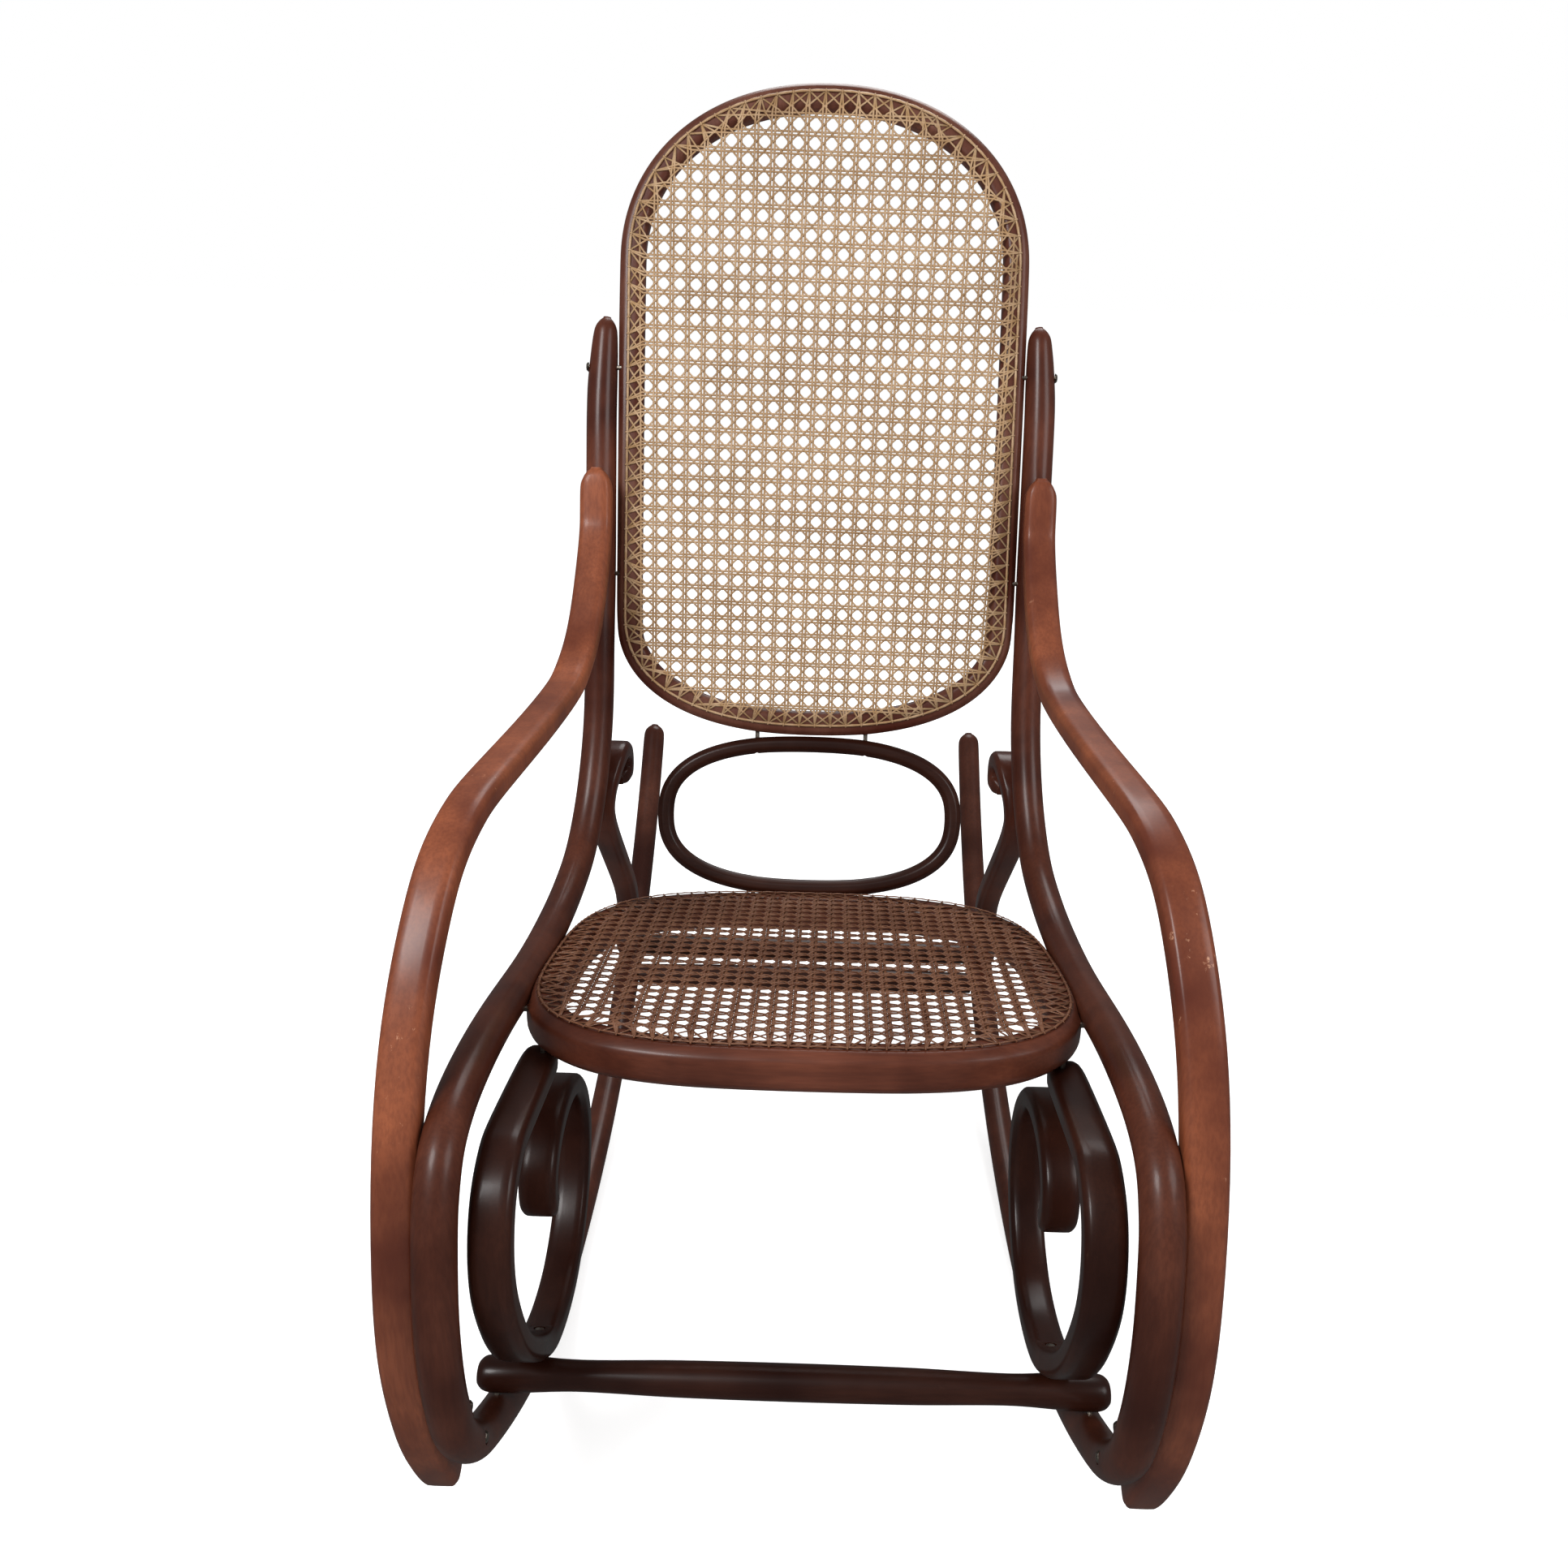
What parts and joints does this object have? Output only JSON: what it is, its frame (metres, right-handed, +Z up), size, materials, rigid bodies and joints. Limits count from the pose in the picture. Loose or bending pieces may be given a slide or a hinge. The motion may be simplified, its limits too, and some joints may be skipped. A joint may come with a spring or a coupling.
{
  "type": "rocking chair",
  "caption": "Bentwood rocking chair: looped side rods, flat bent arms, scrolls under a caned seat and a tall arched caned back.",
  "frame": {"origin": "middle of the plan box at floor level", "axes": "+Z up; the sitter faces -Y; +X to the right as seen from the front"},
  "size_m": [0.5584, 1.1082, 1.1141],
  "materials": {
    "stained_beech": "red-brown stain under satin lacquer",
    "arm_beech": "lighter orange-brown stain, worn satin lacquer",
    "back_beech": "duller pinkish brown stain, nearly matt",
    "back_cane": "natural straw-coloured cane, slightly glossy",
    "seat_cane": "darkened brown cane, slightly glossy",
    "screw_steel": "dulled steel"
  },
  "bodies": {
    "root": {"arm_left": "arm_beech", "arm_right": "arm_beech", "arm_screw_left_1": "screw_steel", "arm_screw_left_2": "screw_steel", "arm_screw_right_1": "screw_steel", "arm_screw_right_2": "screw_steel", "arm_top_screw_left": "screw_steel", "arm_top_screw_right": "screw_steel", "back_cane": "back_cane", "back_cane_binding": "back_cane", "back_frame": "back_beech", "back_screw_left_1": "screw_steel", "back_screw_left_2": "screw_steel", "back_screw_right_1": "screw_steel", "back_screw_right_2": "screw_steel", "brace_screw_left_1": "screw_steel", "brace_screw_left_2": "screw_steel", "brace_screw_right_1": "screw_steel", "brace_screw_right_2": "screw_steel", "front_stretcher": "stained_beech", "lower_rail_screw_left": "screw_steel", "lower_rail_screw_right": "screw_steel", "lumbar_ring": "stained_beech", "rear_brace_left": "stained_beech", "rear_brace_right": "stained_beech", "rear_rail_lower": "stained_beech", "rear_rail_upper": "stained_beech", "ring_bottom_screw_left": "screw_steel", "ring_bottom_screw_right": "screw_steel", "ring_top_screw_left": "screw_steel", "ring_top_screw_right": "screw_steel", "scroll_screw_left_1": "screw_steel", "scroll_screw_left_2": "screw_steel", "scroll_screw_right_1": "screw_steel", "scroll_screw_right_2": "screw_steel", "seat_cane": "seat_cane", "seat_cane_binding": "seat_cane", "seat_frame": "stained_beech", "seat_screw_left_1": "screw_steel", "seat_screw_left_2": "screw_steel", "seat_screw_right_1": "screw_steel", "seat_screw_right_2": "screw_steel", "seat_scroll_left": "stained_beech", "seat_scroll_right": "stained_beech", "side_rod_left": "stained_beech", "side_rod_right": "stained_beech", "stretcher_screw_left": "screw_steel", "stretcher_screw_right": "screw_steel", "upper_rail_screw_left": "screw_steel", "upper_rail_screw_right": "screw_steel"}
  },
  "joints": []
}
